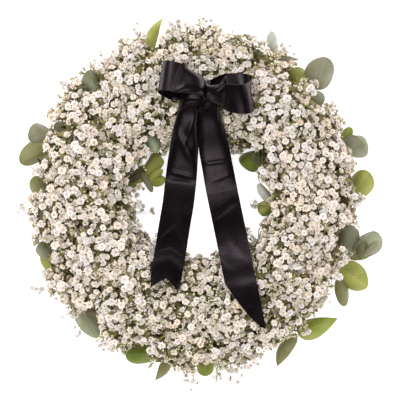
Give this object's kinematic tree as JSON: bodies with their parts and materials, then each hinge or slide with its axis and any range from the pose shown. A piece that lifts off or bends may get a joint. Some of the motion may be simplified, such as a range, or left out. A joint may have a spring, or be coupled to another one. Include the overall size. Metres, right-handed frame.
{
  "type": "memorial wreath",
  "caption": "Ring of foam packed with baby's breath and eucalyptus, lying flat, with a black satin bow whose long tails cross the open middle.",
  "frame": {"origin": "under the middle of the wreath's outline, on the surface that it lies on", "axes": "+Z out of the wreath's face, up as it lies on its back; +Y towards the bow; +X to the right of the bow as seen from the face"},
  "size_m": [0.445, 0.444, 0.1319],
  "materials": {
    "petals": "soft matt cream-white double blossoms with warm shading, on hair-thin green stems",
    "grey_leaf": "dull grey-green eucalyptus leaf with a waxy bloom and a thin reddish edge",
    "fresh_leaf": "young yellow-green eucalyptus leaf, satin",
    "foam": "dark green wetted floral foam, fine open grain",
    "tray": "dark green moulded plastic",
    "satin": "black satin ribbon with a woven selvedge and a faint aubergine sheen",
    "wire": "plain steel florist's wire"
  },
  "bodies": {
    "root": {"base_tray": "tray", "foam_ring": "foam", "outer_spray_01": "petals", "outer_spray_02": "petals", "outer_spray_03": "petals", "outer_spray_04": "petals", "outer_spray_05": "petals", "outer_spray_06": "petals", "outer_spray_07": "petals", "outer_spray_08": "petals", "outer_spray_09": "petals", "outer_spray_10": "petals", "outer_spray_11": "petals", "outer_spray_12": "petals", "top_spray_01": "petals", "top_spray_02": "petals", "top_spray_03": "petals", "top_spray_04": "petals", "top_spray_05": "petals", "top_spray_06": "petals", "top_spray_07": "petals", "top_spray_08": "petals", "top_spray_09": "petals", "top_spray_10": "petals", "top_spray_11": "petals", "top_spray_12": "petals", "inner_spray_01": "petals", "inner_spray_02": "petals", "inner_spray_03": "petals", "inner_spray_04": "petals", "inner_spray_05": "petals", "inner_spray_06": "petals", "inner_spray_07": "petals", "inner_spray_08": "petals", "eucalyptus_01": "fresh_leaf", "eucalyptus_02": "grey_leaf", "eucalyptus_03": "grey_leaf", "eucalyptus_04": "grey_leaf", "eucalyptus_05": "fresh_leaf", "eucalyptus_06": "grey_leaf", "eucalyptus_07": "fresh_leaf", "eucalyptus_08": "fresh_leaf", "eucalyptus_09": "grey_leaf", "eucalyptus_10": "grey_leaf", "eucalyptus_11": "fresh_leaf", "eucalyptus_12": "grey_leaf", "eucalyptus_13": "grey_leaf", "eucalyptus_14": "grey_leaf", "eucalyptus_15": "grey_leaf", "eucalyptus_16": "grey_leaf", "eucalyptus_17": "fresh_leaf", "eucalyptus_18": "fresh_leaf", "eucalyptus_19": "grey_leaf", "left_tail": "satin", "right_tail": "satin", "bow_left_loop": "satin", "bow_right_loop": "satin", "bow_knot": "satin", "bow_pin": "wire"}
  },
  "joints": []
}
